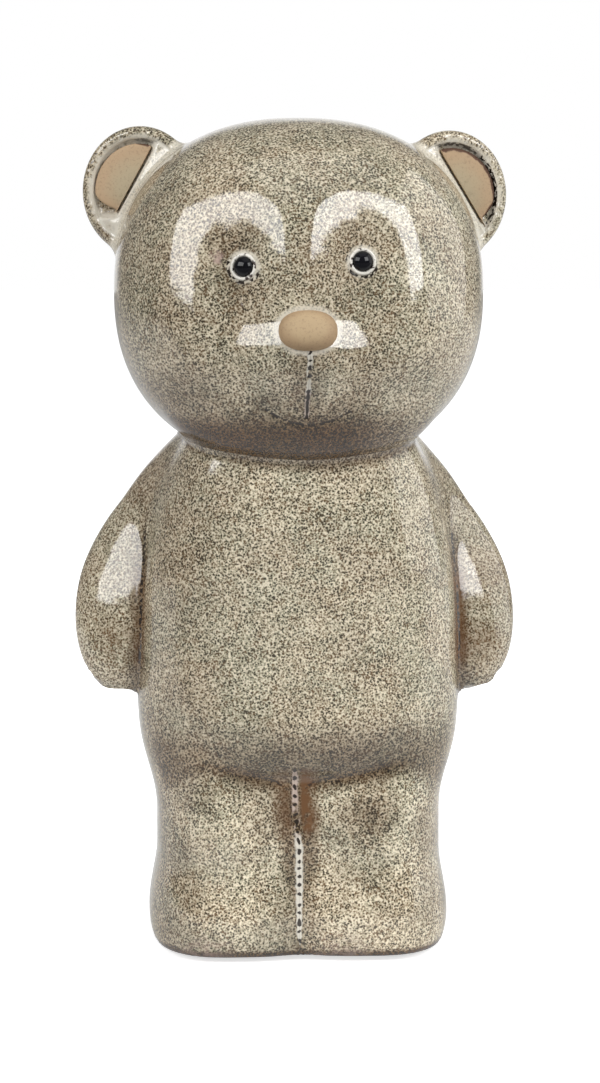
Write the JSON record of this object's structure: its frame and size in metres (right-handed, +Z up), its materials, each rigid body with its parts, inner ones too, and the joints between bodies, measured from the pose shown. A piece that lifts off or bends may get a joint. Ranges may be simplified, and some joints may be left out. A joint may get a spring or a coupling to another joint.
{
  "type": "teddy bear sculpture",
  "caption": "Standing teddy bear figurine in speckled glazed stoneware, with bare clay nose and ear linings, that rests on felt dots as a shelf or table ornament.",
  "frame": {"origin": "centre of the bounding box at the level of the felt dots' undersides, where the bear stands", "axes": "+Z up, the bear faces -Y, +X to its own left"},
  "size_m": [0.1294, 0.1014, 0.24],
  "materials": {
    "glaze": "glossy speckled stoneware glaze",
    "bare_clay": "matt unglazed tan clay",
    "black_glaze": "glossy black glaze",
    "white_slip": "glossy cream slip",
    "felt": "dark brown pressed felt"
  },
  "bodies": {
    "root": {"head_shell": "glaze", "torso_shell": "glaze", "left_leg_shell": "glaze", "right_leg_shell": "glaze", "left_arm_shell": "glaze", "right_arm_shell": "glaze", "left_ear_cup": "glaze", "right_ear_cup": "glaze", "left_ear_lining": "bare_clay", "right_ear_lining": "bare_clay", "nose_button": "bare_clay", "left_eye_bead": "black_glaze", "right_eye_bead": "black_glaze", "left_eye_ring": "white_slip", "right_eye_ring": "white_slip", "left_front_felt_dot": "felt", "left_back_felt_dot": "felt", "right_front_felt_dot": "felt", "right_back_felt_dot": "felt"}
  },
  "joints": []
}
